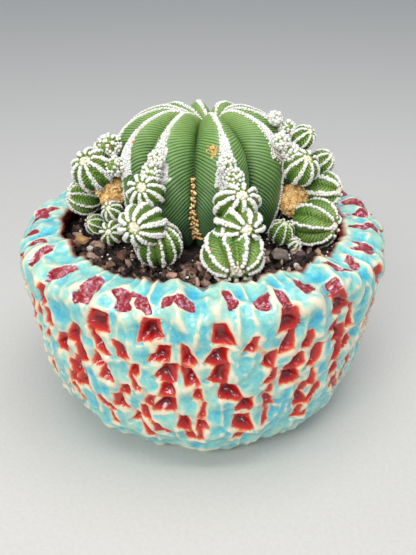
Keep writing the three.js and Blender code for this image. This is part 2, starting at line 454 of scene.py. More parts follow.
# Strokes of the same red across the rim: close and short at the front, long and sparse elsewhere.
strokes = []
for direction in range(4, 364, 8):
    in_front = 240 < direction < 335
    length = carving.uniform(7, 12) if in_front else carving.uniform(12, 17)
    middle = direction + carving.uniform(-3.5, 3.5)
    width = carving.uniform(3.2, 6)
    askew = carving.uniform(-0.7, 0.5)
    if carving.random() < (0.9 if in_front else 0.45):
        strokes.append((middle, length, width, askew))
rim_depth = np.zeros(len(points))
on_rim = (height > 90) & (along < outside_along[-1] + 6)
rim_along = np.interp(RIM_RADIUS, wall[over_lip::-1, 0][:120], outside_along[::-1][:120])
for direction, length, width, askew in strokes:
    x = beside(direction, RIM_RADIUS) + wobble[0]
    y = along - rim_along + wobble[1] + carving.uniform(-3, 6)
    x = x - askew * y
    stroke = 1 - ((x / (0.64 * width)) ** 4 + (y / (0.56 * length)) ** 4) ** 0.25 + 0.7 * wobble[1]
    tool_marks = 1.4 + 0.3 * np.cos(2 * math.pi * y / 2.6 + 2 * wobble[0])
    rim_depth = np.maximum(rim_depth, np.where(on_rim, np.clip(3 * stroke, 0, 1) * tool_marks, 0))

notch = np.abs(np.sin(np.radians((azimuth - FIRST_NOTCH) * 180 / SCALLOP)))
at_lip = np.exp(-(((along - outside_along[-1] - 3) / 8) ** 2))
# Long wandering ridges, steeper round the pot than up it, as fingers leave in soft clay.
round_mm = np.c_[np.cos(np.radians(azimuth)), np.sin(np.radians(azimuth)), along / 190] * 90
fingers = 0.28 - np.abs(lumps(round_mm, 10, 5))
fingers += 0.8 * (0.24 - np.abs(lumps(round_mm, 5.5, 6)))
print("rim strokes", len(strokes), "scallops", 360 // SCALLOP)

# %% Move the clay
FINGER_HEIGHT = 1.8
LIP_HEIGHT = 0.65

slope = np.gradient(wall, axis=0)
slope /= np.linalg.norm(slope, axis=1)[:, None]
out_radius = np.interp(along, wall_along, slope[:, 1])
out_height = np.interp(along, wall_along, -slope[:, 0])
worked = smooth_step(along, 2, 14) * (1 - smooth_step(along, outside_along[-1] + 8, outside_along[-1] + 20))
swell = 1.6 * lumps(points, 16 * MM, 3) + 1.3 * lumps(points, 7 * MM, 4) + 0.5 * lumps(points, 3.2 * MM, 8)
shoulder = 1 + 0.9 * np.exp(-(((height - 90) / 9) ** 2))
move = swell + FINGER_HEIGHT * shoulder * fingers * (depth < 1.2) + LIP_HEIGHT * lip * (depth < 1)
move = worked * (move - depth - rim_depth)
move += at_lip * (1.8 * notch - 1.5)
step_out = move * MM
cos_sin = np.c_[np.cos(np.radians(azimuth)), np.sin(np.radians(azimuth))]
points[:, :2] += cos_sin * (step_out * out_radius)[:, None]
inner_edge = np.exp(-(((along - outside_along[-1] - 6) / 5) ** 2))
points[:, :2] -= cos_sin * (inner_edge * 2.0 * (notch - 0.55) * MM)[:, None]
points[:, 2] += step_out * out_height
points[:, 2] = np.maximum(points[:, 2], 0)
write_points(pot, points)
print("pot reaches", round(np.hypot(points[:, 0], points[:, 1]).max() / MM, 1), "mm from its axis")


# %% How sharp each edge is
def edge_sharpness(piece, spread):
    """Above 0 where the surface bulges and below 0 in hollows, averaged over a few rings of neighbours."""
    count = len(piece.data.vertices)
    ends = np.empty(len(piece.data.edges) * 2, np.int32)
    piece.data.edges.foreach_get("vertices", ends)
    first, second = ends.reshape(-1, 2).T
    degree = np.bincount(ends, minlength=count)[:, None]
    start = read_points(piece)
    place = start.copy()
    for _ in range(spread):
        total = np.zeros_like(place)
        for axis in range(3):
            total[:, axis] += np.bincount(first, place[second, axis], count)
            total[:, axis] += np.bincount(second, place[first, axis], count)
        place = total / degree
    return ((start - place) * read_normals(piece)).sum(axis=1) / MM


fine_edge = edge_sharpness(pot, 3)
broad_edge = edge_sharpness(pot, 14)
paint(pot, "cut", worked * np.maximum(depth, 0))
paint(pot, "stroke", worked * rim_depth)
paint(pot, "crease", worked * crease)
paint(pot, "edge", fine_edge)
paint(pot, "hill", broad_edge)
paint(pot, "inside", smooth_step(along, outside_along[-1] + 7, outside_along[-1] + 9))
print("edge sharpness, 5% to 95%:", [round(v, 2) for v in np.percentile(fine_edge, (5, 25, 50, 75, 95))])

# %% [markdown]
# ## Glaze
#
# Stoneware glaze is glass, melted over the clay. It is thick and blue where it pools in hollows, green on
# open wall, and thin and cream where it ran off sharp edges. The pits were painted red first, and the red
# shows dark at the bottom and orange where the blue thins out over it. All of it has the same hard gloss,
# so the roughness stays low, with small ripples that break up the reflections.

# %% The glaze material
glaze, tree, shader = new_material("reactive_stoneware_glaze")
coordinates = add(tree, "TexCoord").outputs["Object"]
cut, crease, stroke, edge, hill, inside = [
    add(tree, "Attribute", attribute_name=name).outputs["Fac"]
    for name in ("cut", "crease", "stroke", "edge", "hill", "inside")
]
cloud = add(tree, "TexNoise", {"Vector": coordinates, "Scale": 90, "Detail": 5, "Roughness": 0.6})
grain = add(tree, "TexNoise", {"Vector": coordinates, "Scale": 420, "Detail": 4, "Roughness": 0.65})
cloudy = add(tree, "Math", {0: cloud.outputs["Fac"], 1: -0.5}, operation="ADD").outputs[0]
grainy = add(tree, "Math", {0: grain.outputs["Fac"], 1: -0.5}, operation="ADD").outputs[0]
pooling, thin, red_depth = 0.5, edge, cut
for source, weight in ((cloudy, 1.7), (hill, -0.35), (grainy, 1.1)):
    pooling = add(tree, "Math", {0: source, 1: weight, 2: pooling}, operation="MULTIPLY_ADD").outputs[0]
for source, weight in ((grainy, 0.8), (cloudy, 0.6), (cut, 0.3)):
    thin = add(tree, "Math", {0: source, 1: weight, 2: thin}, operation="MULTIPLY_ADD").outputs[0]
for source, weight in ((cloudy, 0.8), (grainy, 0.9)):
    red_depth = add(tree, "Math", {0: source, 1: weight, 2: red_depth}, operation="MULTIPLY_ADD").outputs[0]
open_wall = add(
    tree,
    "ValToRGB",
    {"Fac": pooling},
    stops=[(0.1, "#a9cfba"), (0.95, "#2c9dc0"), (0.4, "#7cc5c0"), (0.66, "#55b7c4")],
).outputs["Color"]
thin = add(tree, "MapRange", {0: thin, 1: 0.13, 2: 0.36}).outputs[0]
red_colour = add(
    tree,
    "ValToRGB",
    {"Fac": add(tree, "MapRange", {0: red_depth, 1: 0, 2: 4}).outputs[0]},
    stops=[(0.14, "#e4cfa6"), (1.0, "#6a070b"), (0.28, "#d6603a"), (0.4, "#c21c18"), (0.7, "#a30f13")],
).outputs["Color"]
is_red = add(tree, "MapRange", {0: red_depth, 1: 0.5, 2: 0.9}).outputs[0]
# The pale crease colour is partly milky glaze pooled in the creases and partly a painted highlight for the
# bright streaks that the creases reflect.
crease_glaze_and_highlight = add(tree, "Math", {0: grainy, 1: 1.5, 2: crease}, operation="MULTIPLY_ADD").outputs[0]
crease_glaze_and_highlight = add(tree, "MapRange", {0: crease_glaze_and_highlight, 1: 0.55, 2: 1.05, 3: 0, 4: 0.75}).outputs[0]
stroke_colour = add(
    tree,
    "ValToRGB",
    {"Fac": grain.outputs["Fac"]},
    stops=[(0.38, "#b98aa2"), (0.66, "#640b14"), (0.45, "#9a2a3c"), (0.52, "#961620")],
).outputs["Color"]
is_stroke = add(tree, "Math", {0: grainy, 1: 0.8, 2: stroke}, operation="MULTIPLY_ADD").outputs[0]
is_stroke = add(tree, "MapRange", {0: is_stroke, 1: 0.2, 2: 0.5}).outputs[0]
# Each layer covers the ones before it: thin cream, red, pale creases (partly milky pooled glaze, partly a
# painted highlight), rim strokes, and the bare inside.
wall_colour = open_wall
for amount, colour in (
    (thin, srgb("#dfd3b8")),
    (is_red, red_colour),
    (crease_glaze_and_highlight, srgb("#e9d6dc")),
    (is_stroke, stroke_colour),
    (inside, srgb("#6d1418")),
):
    wall_colour = add(tree, "Mix", {0: amount, 6: wall_colour, 7: colour}, data_type="RGBA").outputs[2]
ripple = add(tree, "Bump", {"Strength": 0.35, "Distance": 0.0005, "Height": grain.outputs["Fac"]})
tree.links.new(wall_colour, shader.inputs["Base Color"])
tree.links.new(ripple.outputs["Normal"], shader.inputs["Normal"])
shader.inputs["Roughness"].default_value = 0.16
shader.inputs["IOR"].default_value = 1.52
shader.inputs["Coat Weight"].default_value = 0.2
shader.inputs["Coat Roughness"].default_value = 0.06
settle(pot, "pot_glazed", glaze, "pot")
print("glazed")

# %% [markdown]
# ## The main stem
#
# The cactus grew as one body: eleven ribs that meet in a sunken crown. Its skin is folded crosswise, like
# a bellows, so that it can swell after rain. The folds are fine and level near the crown, wider and
# steeper lower down, and they hang like chevrons from each groove. A sphere has the right poles and
# grid, so a fine one is added and its points are moved: first to the ribs, then along the normals to
# the folds. Its rows are close above the mix and few below it.

# %% The stem's form
STEM_CRESTS = [20, 57, 95, 130, 160, 188, 214, 242, 285, 327, 355]
STEM_SET_BACK = 17
STEM_LEAN = math.radians(5)
CROWN_ASIDE = 3.2  # mm that the sunken crown lies right of the middle
CROWN_END = 200  # from this level down, nothing is moved aside
PAST_CROWN = 100  # a level past the top of the crests
# Radius and height over the mix, from the crown down a crest, and down a groove.
CREST_CURVE = [(0, 48.5), (5, 52), (11, 57), (19, 59), (27, 57.2), (34.5, 53.5), (40, 48.5), (44.5, 41)]
CREST_CURVE += [(46, 31), (45, 18), (42, 8), (38, 0), (29, -6), (16, -14), (0, -16)]
GROOVE_CURVE = [(0, 48.5), (3, 48.5), (5, 49), (9, 50), (15, 50), (22, 47.5), (29, 43.5), (34, 38)]
GROOVE_CURVE += [(36.5, 30), (36.5, 19), (34, 9), (31, 0), (27, -6), (16, -14), (0, -16)]
RIBS = len(STEM_CRESTS)
crest_line = smooth_curve(CREST_CURVE)
groove_line = smooth_curve(GROOVE_CURVE)
level_steps = np.arange(len(crest_line))
mid_along = (distance_along(crest_line) + distance_along(groove_line)) / 2
ground_level = level_steps[np.argmax((crest_line[:, 1] < 0) & (level_steps > PAST_CROWN))]


def stem_surface(rib, level):
    """Points of the smooth stem. rib counts crests, halves are grooves; level goes down from the crown."""
    rib = np.asarray(rib, float) % RIBS
    crest = np.minimum(rib.astype(int), RIBS - 1)
    part = rib - crest
    angles = np.append(STEM_CRESTS, STEM_CRESTS[0] + 360)
    turn = np.radians(angles[crest] + part * (angles[crest + 1] - angles[crest]))
    out = np.sin(np.abs(2 * part - 1) * math.pi / 2) ** 0.62
    sides = [
        np.interp(level, level_steps, groove_line[:, axis]) * (1 - out)
        + np.interp(level, level_steps, crest_line[:, axis]) * out
        for axis in (0, 1)
    ]
    aside = CROWN_ASIDE * (1 - smooth_step(sides[0], 3, 17)) * (np.asarray(level) < CROWN_END)
    x = sides[0] * np.cos(turn) + aside
    y = sides[0] * np.sin(turn)
    up = sides[1]
    leaned = y * math.cos(STEM_LEAN) + up * math.sin(STEM_LEAN) + STEM_SET_BACK
    raised = up * math.cos(STEM_LEAN) - y * math.sin(STEM_LEAN) + soil_top / MM
    return np.stack([x, leaned, raised], axis=-1) * MM


def stem_normal(rib, level):
    """The way the smooth stem faces at those places."""
    round_it = stem_surface(np.add(rib, 0.02), level) - stem_surface(np.subtract(rib, 0.02), level)
    down_it = stem_surface(rib, np.add(level, 2)) - stem_surface(rib, np.subtract(level, 2))
    normal = np.cross(down_it, round_it)
    return normal / np.linalg.norm(normal, axis=-1)[..., None]


def round_body(columns, rows):
    """A new sphere for shaping, with each point's column (0 to columns) and row (0 at the top pole)."""
    deselect()
    bpy.ops.mesh.primitive_uv_sphere_add(segments=columns, ring_count=rows, radius=1)
    body = bpy.context.object
    start = read_points(body)
    row = np.rint(np.arccos(np.clip(start[:, 2], -1, 1)) / math.pi * rows)
    column = np.rint(np.arctan2(start[:, 1], start[:, 0]) / (2 * math.pi) * columns) % columns
    return body, column, row


# %% Shape the stem
STEM_ACROSS = 20  # points round each rib
STEM_ROWS = 380
BURIED_ROWS = 12
FOLD_HANG_CROWN = 1.5  # mm that a fold hangs from groove to crest
FOLD_HANG_BASE = 18

stem, column, row = round_body(RIBS * STEM_ACROSS, STEM_ROWS)
rib = column / STEM_ACROSS
share = np.abs(2 * (rib % 1) - 1)
shown = STEM_ROWS - BURIED_ROWS
ground_along = mid_along[ground_level]
fold_along = np.minimum(row / shown, 1) * ground_along
down = fold_along / ground_along
hang = FOLD_HANG_CROWN + (FOLD_HANG_BASE - FOLD_HANG_CROWN) * smooth_step(down, 0.15, 0.8)
hang *= share**1.35 * smooth_step(down, 0, 0.08)
buried = np.clip((row - shown) / BURIED_ROWS, 0, 1)
row_along = (fold_along + hang) * (1 - buried) + mid_along[-1] * buried
level = np.interp(row_along, mid_along, level_steps)
write_points(stem, stem_surface(rib, level))
print("stem", round(ground_along), "mm from crown to mix,", len(stem.data.polygons), "faces")

# %% Fold its skin
FOLD_AT_CROWN = 1.05  # mm from one fold to the next
FOLD_AT_BASE = 2.1

points = read_points(stem)
fine_along = np.linspace(-20, ground_along + 20, 2000)
fold_size = FOLD_AT_CROWN + (FOLD_AT_BASE - FOLD_AT_CROWN) * np.clip(fine_along / ground_along, 0, 1)
fold_count = np.cumsum((fine_along[1] - fine_along[0]) / fold_size)
fold = np.interp(fold_along, fine_along, fold_count)
fold += 0.5 * lumps(points, 11 * MM, 11) + 0.22 * lumps(points, 4 * MM, 12)
ridge = np.abs(np.sin(math.pi * fold))
fade = smooth_step(row_along, 3, 12) * (1 - 0.8 * smooth_step(share, 0.88, 0.98))
fade *= 0.55 + 0.45 * smooth_step(share, 0, 0.2)
height = (0.34 + 0.4 * down) * fade * (ridge**0.5 - 0.6) * (buried == 0)
height += 0.35 * lumps(points, 14 * MM, 13) * smooth_step(row_along, 5, 20)
points += read_normals(stem) * (height * MM)[:, None]
write_points(stem, points)
# The ridge number picks the painted light: near 1 on fold ridges (painted highlight), near 0 in fold valleys
# and in the grooves between ribs (painted shade).
paint(stem, "ridge", (ridge**0.55 * fade + (1 - fade) * 0.6) * smooth_step(share, -0.02, 0.14))
paint(stem, "down", down)
paint(stem, "share", share)
print("folds", int(fold.max() - fold.min()), "from crown to base")

# %% [markdown]
# ## Skin
#
# Cactus skin is a waxy cuticle over wet green tissue. The wax gives a soft, broad shine. Light goes a
# little way in, which keeps the shadows green. The crown is the newest skin; the colour goes from pale
# yellow-green there to a dark bluish green towards the base. Shade is painted into the folds and grooves
# as a darker copy of the colours, and highlight is painted onto the fold ridges as a lighter copy.

# %% Where wool grows on the stem
# Ribs that bear buds: on these the band widens between two heights over the mix, to this half width (mm).
WIDE_WOOL = {
    188: (53, 36, 4.5),
    214: (52, 34, 5.5),
    242: (54, 34, 6),
    285: (53, 32, 6),
    327: (58, 42, 4),
    355: (58, 40, 5.5),
}
BAND = 1.0  # half width of the plain band (mm)
crest_along = distance_along(crest_line)


def band_half_width(direction, distance, over_mix):
    """Half the width of the wool on one crest, at a distance from the crown and a height over the mix."""
    half = BAND * (0.7 + 0.4 * smooth_step(distance, 8, 40))
    if direction in WIDE_WOOL:
        start, end, widest = WIDE_WOOL[direction]
        wide = np.clip((start - over_mix) / (start - end), 0, 1) * (np.asarray(distance) > 20)
        above = np.where(np.asarray(distance) > 20, smooth_step(over_mix, end - 5, end), 1)
        half = (0.35 + 0.65 * above) * half + above * wide * (widest - half)
    return half


nearest = np.rint(rib).astype(int) % RIBS
felt = np.zeros(len(rib))
stem_distance = np.interp(level, level_steps, crest_along)
stem_height = np.interp(level, level_steps, crest_line[:, 1])
stem_around = np.interp(level, level_steps, crest_line[:, 0])
for number, direction in enumerate(STEM_CRESTS):
    turn = ((STEM_CRESTS[(number + 1) % RIBS] - direction) % 360, (direction - STEM_CRESTS[number - 1]) % 360)
    mine = nearest == number
    off = np.abs((rib - number + RIBS / 2) % RIBS - RIBS / 2) * np.radians(np.mean(turn)) * stem_around
    half = band_half_width(direction, stem_distance, stem_height)
    felt = np.where(mine, 1 - smooth_step(off, half - 0.5, half + 0.3), felt)
paint(stem, "felt", felt * smooth_step(stem_distance, 2, 6))
print("felt covers", round(100 * felt.mean()), "% of the stem")

# %% The skin material


def skin_material(name, lit_ridge_stops, shaded_fold_stops, fold_shade_range, spots):
    """Waxy cactus skin, pale at the crown and darker towards the base, with painted highlight on fold ridges
    and painted shade in the folds.
    """
    skin, tree, shader = new_material(name)
    coordinates = add(tree, "TexCoord").outputs["Object"]
    down, ridge, share, felt = [
        add(tree, "Attribute", attribute_name=name).outputs["Fac"]
        for name in ("down", "ridge", "share", "felt")
    ]
    cloud = add(tree, "TexNoise", {"Vector": coordinates, "Scale": 130, "Detail": 4})
    fleck = add(tree, "TexNoise", {"Vector": coordinates, "Scale": 700, "Detail": 3})
    crown_to_base = add(tree, "Math", {0: cloud.outputs["Fac"], 1: 0.5, 2: down}, operation="MULTIPLY_ADD").outputs[0]
    crown_to_base = add(tree, "MapRange", {0: crown_to_base, 1: 0.25, 2: 1.2}).outputs[0]
    # Painted light: the first ramp is a lit copy of the skin colours for the fold ridges (painted highlight),
    # the second a shaded copy for the folds and grooves (painted shade).
    lit_ridge_tone = add(tree, "ValToRGB", {"Fac": crown_to_base}, stops=lit_ridge_stops).outputs["Color"]
    shaded_fold_tone = add(tree, "ValToRGB", {"Fac": crown_to_base}, stops=shaded_fold_stops).outputs["Color"]
    fold_light_share = add(tree, "MapRange", {0: ridge, 1: fold_shade_range[0], 2: fold_shade_range[1]}).outputs[0]
    tone = add(tree, "Mix", {0: fold_light_share, 6: shaded_fold_tone, 7: lit_ridge_tone}, data_type="RGBA").outputs[2]
    dusty = add(tree, "MapRange", {0: share, 1: 0.72, 2: 1, 3: 0, 4: 0.3}).outputs[0]
    tone = add(tree, "Mix", {0: dusty, 6: tone, 7: srgb("#a9bd8a")}, data_type="RGBA").outputs[2]
    scar = add(tree, "TexNoise", {"Vector": coordinates, "Scale": 260, "Detail": 2}).outputs["Fac"]
    scar = add(tree, "MapRange", {0: scar, 1: spots, 2: spots + 0.05}).outputs[0]
    tone = add(tree, "Mix", {0: scar, 6: tone, 7: srgb("#b9823c")}, data_type="RGBA").outputs[2]
    felt = add(tree, "Math", {0: fleck.outputs["Fac"], 1: 0.5, 2: felt}, operation="MULTIPLY_ADD").outputs[0]
    felt = add(tree, "MapRange", {0: felt, 1: 0.6, 2: 0.95}).outputs[0]
    tone = add(tree, "Mix", {0: felt, 6: tone, 7: srgb("#dcdad4")}, data_type="RGBA").outputs[2]
    pores = add(tree, "Bump", {"Strength": 0.3, "Distance": 0.0002, "Height": fleck.outputs["Fac"]})
    tree.links.new(tone, shader.inputs["Base Color"])
    tree.links.new(pores.outputs["Normal"], shader.inputs["Normal"])
    shader.inputs["Roughness"].default_value = 0.42
    shader.inputs["IOR"].default_value = 1.42
    shader.inputs["Subsurface Weight"].default_value = 0.12
    shader.inputs["Subsurface Radius"].default_value = (0.4, 1, 0.2)
    shader.inputs["Subsurface Scale"].default_value = 0.0012
    return skin


# The first stops are the skin lit on its fold ridges (painted highlight), the second the same skin in painted
# shade for its folds.
stem_skin = skin_material(
    "waxy_cactus_cuticle",
    lit_ridge_stops=[(0, "#93ac60"), (1, "#46684a"), (0.35, "#7c9f58"), (0.65, "#64894f")],
    shaded_fold_stops=[(0, "#5c7a30"), (1, "#0f2214"), (0.35, "#355518"), (0.65, "#1f3f15")],
    fold_shade_range=(0.25, 0.95),
    spots=0.76,
)
settle(stem, "stem_skin", stem_skin, "main_stem")
print("stem dressed")

# %% [markdown]
# ## One tuft, copied
#
# The white on every rib is wool: each spine cushion grows a tuft of it, and the tufts touch like beads.
# One tuft is a cube, cut once and rounded, so it has only 24 faces. The wool of each plant is thousands
# of copies of its points in one mesh, each copy turned and sized a little differently.

# %% The tuft
deselect()
bpy.ops.mesh.primitive_cube_add(size=2)
tuft = bpy.context.object
bpy.ops.object.mode_set(mode="EDIT")
bpy.ops.mesh.select_all(action="SELECT")
bpy.ops.mesh.subdivide(number_cuts=1, smoothness=1)
bpy.ops.object.mode_set(mode="OBJECT")
tuft_points = read_points(tuft)
tuft_points /= np.abs(tuft_points).max()
tuft_faces = np.array([list(face.vertices) for face in tuft.data.polygons])
bpy.data.objects.remove(tuft)
print("tuft", len(tuft_faces), "faces")


def turned_randomly(count, dice):
    """Random rotations, one 3 by 3 matrix each."""
    quarters = dice.normal(size=(count, 4))
    w, x, y, z = (quarters / np.linalg.norm(quarters, axis=1)[:, None]).T
    rows = [
        [1 - 2 * (y * y + z * z), 2 * (x * y - z * w), 2 * (x * z + y * w)],
        [2 * (x * y + z * w), 1 - 2 * (x * x + z * z), 2 * (y * z - x * w)],
        [2 * (x * z - y * w), 2 * (y * z + x * w), 1 - 2 * (x * x + y * y)],
    ]
    return np.moveaxis(np.array(rows), 2, 0)


def scatter(name, places, sizes, dice, rough=0.12, flat=1.0, tone=None):
    """One mesh of tufts at these places. sizes are radii, rough makes them uneven, flat squashes them."""
    count = len(places)
    sizes = np.broadcast_to(sizes, count)
    shape = np.repeat(tuft_points[None], count, axis=0) * np.array([1, 1, flat])
    shape = shape * (1 + rough * dice.normal(size=(count, len(tuft_points), 1)))
    turned = np.einsum("nij,nkj->nki", turned_randomly(count, dice), shape)
    points = (places[:, None] + turned * sizes[:, None, None]).reshape(-1, 3)
    faces = (tuft_faces[None] + np.arange(count)[:, None, None] * len(tuft_points)).reshape(-1, 4)
    mesh = bpy.data.meshes.new(name)
    mesh.from_pydata(points.tolist(), [], faces.tolist())
    piece = bpy.data.objects.new(name, mesh)
    bpy.context.scene.collection.objects.link(piece)
    tone = np.zeros(count) if tone is None else np.broadcast_to(tone, count)
    paint(piece, "tone", np.repeat(tone, len(tuft_points)))
    return piece


# %% [markdown]
# ## Wool
#
# Plant wool is matted white hair. It has no shine of its own, but its loose fibres scatter light, which a
# little sheen stands for. Fresh wool on the crowns is cream, and old wool is greyer.

# %% The wool material
wool, tree, shader = new_material("matted_areole_wool")
coordinates = add(tree, "TexCoord").outputs["Object"]
tone = add(tree, "Attribute", attribute_name="tone").outputs["Fac"]
matted = add(tree, "TexNoise", {"Vector": coordinates, "Scale": 900, "Detail": 3}).outputs["Fac"]
mix = add(tree, "Math", {0: matted, 1: 0.5, 2: tone}, operation="MULTIPLY_ADD").outputs[0]
wool_colour = add(
    tree,
    "ValToRGB",
    {"Fac": mix},
    stops=[(0.1, "#cbc9c4"), (0.92, "#ead6ac"), (0.35, "#e7e5e1"), (0.62, "#ebe5d6")],
).outputs["Color"]
fibres = add(tree, "Bump", {"Strength": 0.5, "Distance": 0.0003, "Height": matted})
tree.links.new(wool_colour, shader.inputs["Base Color"])
tree.links.new(fibres.outputs["Normal"], shader.inputs["Normal"])
shader.inputs["Roughness"].default_value = 0.95
shader.inputs["Sheen Weight"].default_value = 0.4
shader.inputs["Sheen Roughness"].default_value = 0.6
shader.inputs["Subsurface Weight"].default_value = 0.1
shader.inputs["Subsurface Scale"].default_value = 0.0008

# %% Wool along the ribs
TUFT_STEP = 0.76  # mm between tufts
dice = np.random.default_rng(21)

places, sizes, cream = [], [], []
for number, direction in enumerate(STEM_CRESTS):
    pitch = math.radians((STEM_CRESTS[(number + 1) % RIBS] - direction) % 360)
    for distance in np.arange(5, crest_along[ground_level], TUFT_STEP):
        level = np.interp(distance, crest_along, level_steps)
        around, over_mix = crest_line[int(level)]
        half = band_half_width(direction, distance, over_mix)
        across = np.arange(-half, half + 0.01, TUFT_STEP) + dice.uniform(-0.3, 0.3)
        across = across[np.abs(across) <= half + 0.2]
        for side in across[dice.random(len(across)) > 0.12]:
            shift = (side + dice.normal() * 0.15) / (around * pitch)
            places.append((number + shift, level + dice.normal() * 0.9))
            sizes.append(dice.uniform(0.4, 0.56) * (1.3 if half > 3.4 else 1))
            cream.append(dice.uniform(0, 0.25))
places = np.array(places)
sizes = np.array(sizes)
spots = stem_surface(places[:, 0], places[:, 1])
spots += stem_normal(places[:, 0], places[:, 1]) * (0.3 * MM)
front = spots[:, 1] < STEM_SET_BACK * MM
for name, chosen in (("stem_wool_front", front), ("stem_wool_back", ~front)):
    piece = scatter(name, spots[chosen], sizes[chosen] * MM, dice, tone=np.array(cream)[chosen])
    settle(piece, name, wool)
    print(name, chosen.sum(), "tufts,", 2 * len(piece.data.polygons), "triangles")

# %% [markdown]
# ## Offsets and buds
#
# Each offset is a small plant with its own crown, ribs and wool, and it would break off whole. It is made
# as the stem is: a sphere, moved to eight sharp ribs and folded crosswise, then turned so that its crown
# faces the light. Its place and size come from its CAD node. Rows of large wool beads run down its ribs,
# and a cream cushion covers its crown. A bud is the same plant younger, with more wool than skin.

# %% Young plants
# Where each crown points (direction and slope, degrees), how much neighbours squeeze it, and its ribs.
OFFSETS = {
    "offset_left_high": (240, 48, 1, 9),
    "offset_left_low": (198, 15, 1, 9),
    "offset_left_foot": (190, 15, 1, 8),
    "offset_left_pearl": (215, 30, 1, 8),
    "offset_left_star": (258, 28, 1, 8),
    "offset_left_inner": (240, 45, 1, 8),
    "offset_front_left_top": (255, 38, 1, 10),
    "offset_front_left_middle": (248, 14, 0.9, 10),
    "offset_front_left_base": (250, 78, 1, 11),
    "offset_front_right_top": (288, 45, 0.76, 9),
    "offset_front_right_middle": (290, 14, 0.78, 9),
    "offset_front_right_base": (278, -20, 0.84, 9),
    "offset_right_top": (320, 45, 1, 8),
    "offset_right_high": (302, 52, 1, 8),
    "offset_right_outer": (345, 40, 1, 8),
    "offset_right_middle": (335, 6, 0.95, 7),
    "offset_right_base": (322, 4, 1, 7),
    "offset_right_bead": (320, 72, 1, 8),
    "offset_right_seedling": (315, 50, 1, 7),
    "offset_back_right_low": (14, 12, 1, 8),
    "offset_back_right_high": (24, 36, 1, 8),
    "offset_back_north_east_high": (57, 28, 1, 9),
    "offset_back_north_east_low": (48, 5, 1, 8),
    "offset_back_north_high": (95, 30, 1, 8),
    "offset_back_north_low": (104, 8, 1, 8),
    "offset_back_north_west_high": (130, 28, 1, 9),
    "offset_back_north_west_low": (138, 5, 1, 8),
    "offset_back_left_high": (158, 34, 1, 8),
    "offset_back_left_low": (164, 8, 1, 8),
}
BUD_RIBS = 7
BUDS = {
    "bud_left_upper": (215, 45),
    "bud_left_lower": (225, 40),
    "bud_front_left_upper": (250, 45),
    "bud_front_left_lower": (250, 40),
    "bud_front_right_upper": (284, 45),
    "bud_front_right_lower": (288, 40),
    "bud_right_upper": (340, 60),
    "bud_right_crest": (335, 50),
    "bud_right_front_upper": (315, 50),
    "bud_right_front_lower": (315, 40),
}
# Radius and height of a young plant of radius 1, from its crown down a crest, and down a groove.
YOUNG_CREST = [(0, 0.72), (0.2, 0.82), (0.46, 0.88), (0.8, 0.62), (1, 0.15)]
YOUNG_CREST += [(0.95, -0.35), (0.6, -0.78), (0, -0.92)]
YOUNG_GROOVE = [(0, 0.72), (0.14, 0.72), (0.32, 0.7), (0.58, 0.46), (0.76, 0.1)]
YOUNG_GROOVE += [(0.74, -0.35), (0.48, -0.72), (0, -0.92)]
YOUNG_ROWS = 96
YOUNG_ACROSS = 10  # points round each rib
SMALL_ACROSS = 6
SMALL_RADIUS = 5.5  # mm; a plant smaller than this has fewer points
WAIST = 5  # distance round a plant of radius 1, at four fifths of its radius
YOUNG_FOLD = 1.75  # mm from one fold to the next
BEAD_PITCH = 1.6  # from one wool bead to the next, in bead radii
WOOLLY_TUFTS = 110  # on a bud
WOOLLY_SIZE = 1.95  # a bud's tufts against an offset's beads
young_crest = smooth_curve(YOUNG_CREST)
young_groove = smooth_curve(YOUNG_GROOVE)
young_steps = np.arange(len(young_crest))
young_along = distance_along(young_crest)


def young_surface(rib, distance):
    """Points of a young plant of radius 1: rib counts crests, distance goes from 0 at the crown to 1."""
    step = np.interp(np.multiply(distance, young_along[-1]), young_along, young_steps)
    out = np.sin(np.abs(2 * (rib % 1) - 1) * math.pi / 2) ** 0.8
    sides = [
        np.interp(step, young_steps, young_groove[:, axis]) * (1 - out)
        + np.interp(step, young_steps, young_crest[:, axis]) * out
        for axis in (0, 1)
    ]
    return sides


def young_place(node, towards, slope, squeeze):
    """The matrix that puts a plant of radius 1 where its CAD node is, and that radius in metres."""
    low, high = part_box(node)
    radius = 0.515 * max(high - low)
    turn = Matrix.Rotation(math.radians(towards), 4, "Z") @ Matrix.Rotation(math.radians(90 - slope), 4, "Y")
    place = Matrix.Translation((low + high) / 2) @ turn
    return np.array(place @ Matrix.Diagonal((squeeze, 1, 1, 1)) @ Matrix.Scale(radius, 4)), radius


def placed(points, matrix):
    """The points moved by the matrix."""
    return points @ matrix[:3, :3].T + matrix[:3, 3]


